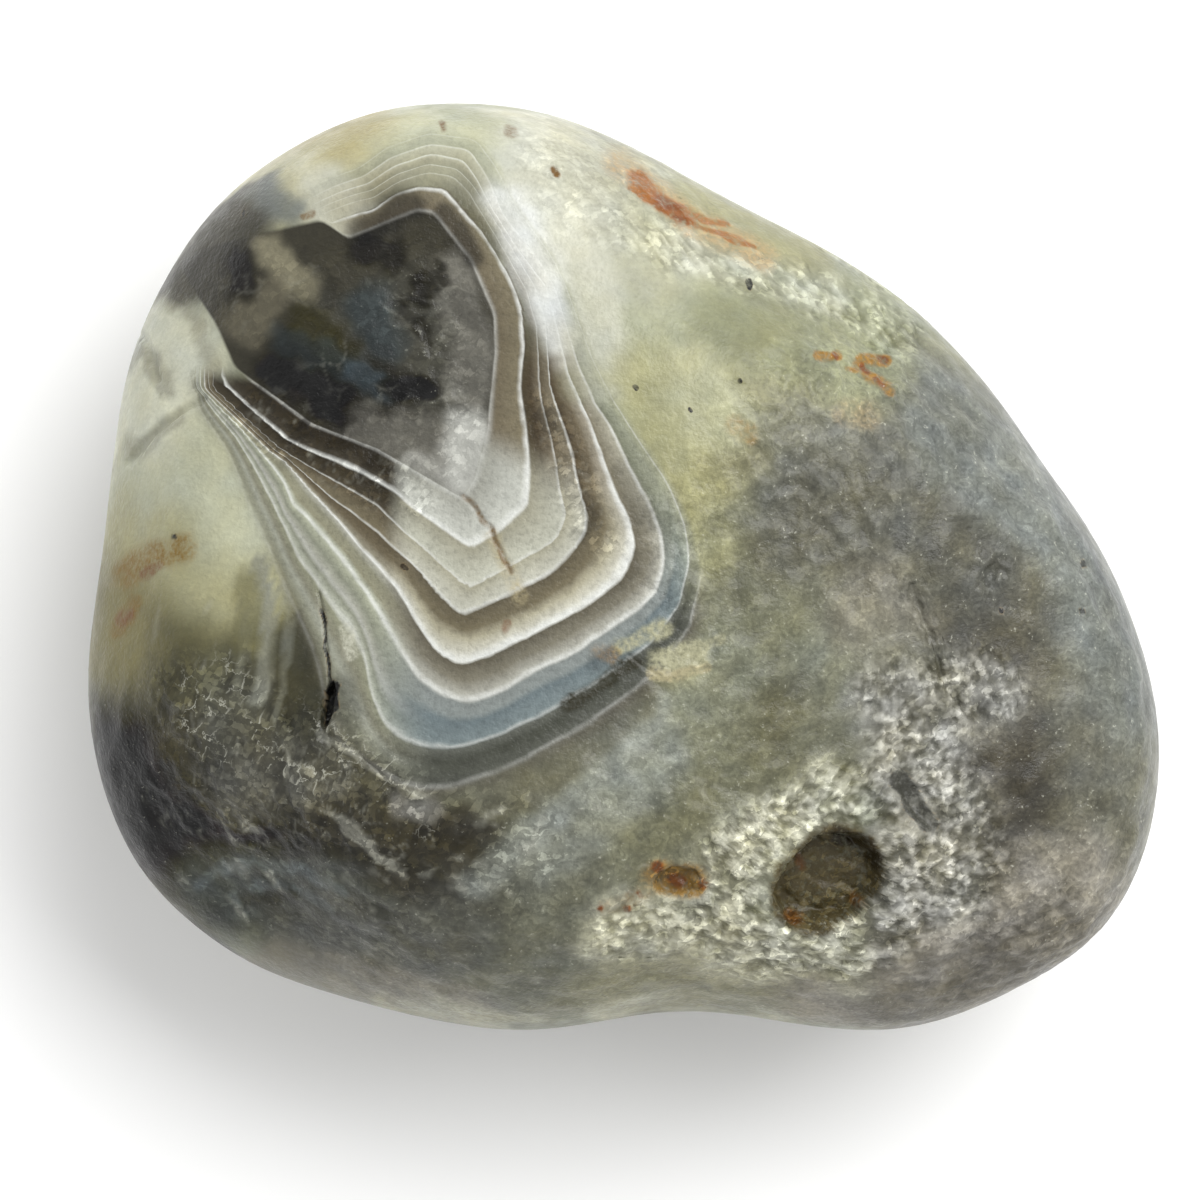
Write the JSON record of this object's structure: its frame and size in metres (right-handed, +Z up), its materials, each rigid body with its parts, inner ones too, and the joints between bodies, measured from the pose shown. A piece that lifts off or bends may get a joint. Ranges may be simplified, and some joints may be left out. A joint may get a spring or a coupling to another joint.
{
  "type": "semi-tumbled agate",
  "caption": "Rounded semi-tumbled agate pebble: satin grey-green chalcedony with white fortification bands round a smoky core, frosted patches and open pits, resting on a worn flat.",
  "frame": {"origin": "on the worn flat that the stone rests on, under the middle of its bounding box", "axes": "+Z up from the flat, +X along the stone's length, +Y away from someone looking down on the banded face"},
  "size_m": [0.036, 0.0312, 0.0175],
  "materials": {
    "agate": "half polished: satin, with frosted grain left by the coarse grind"
  },
  "bodies": {
    "root": {"agate": "agate"}
  },
  "joints": []
}
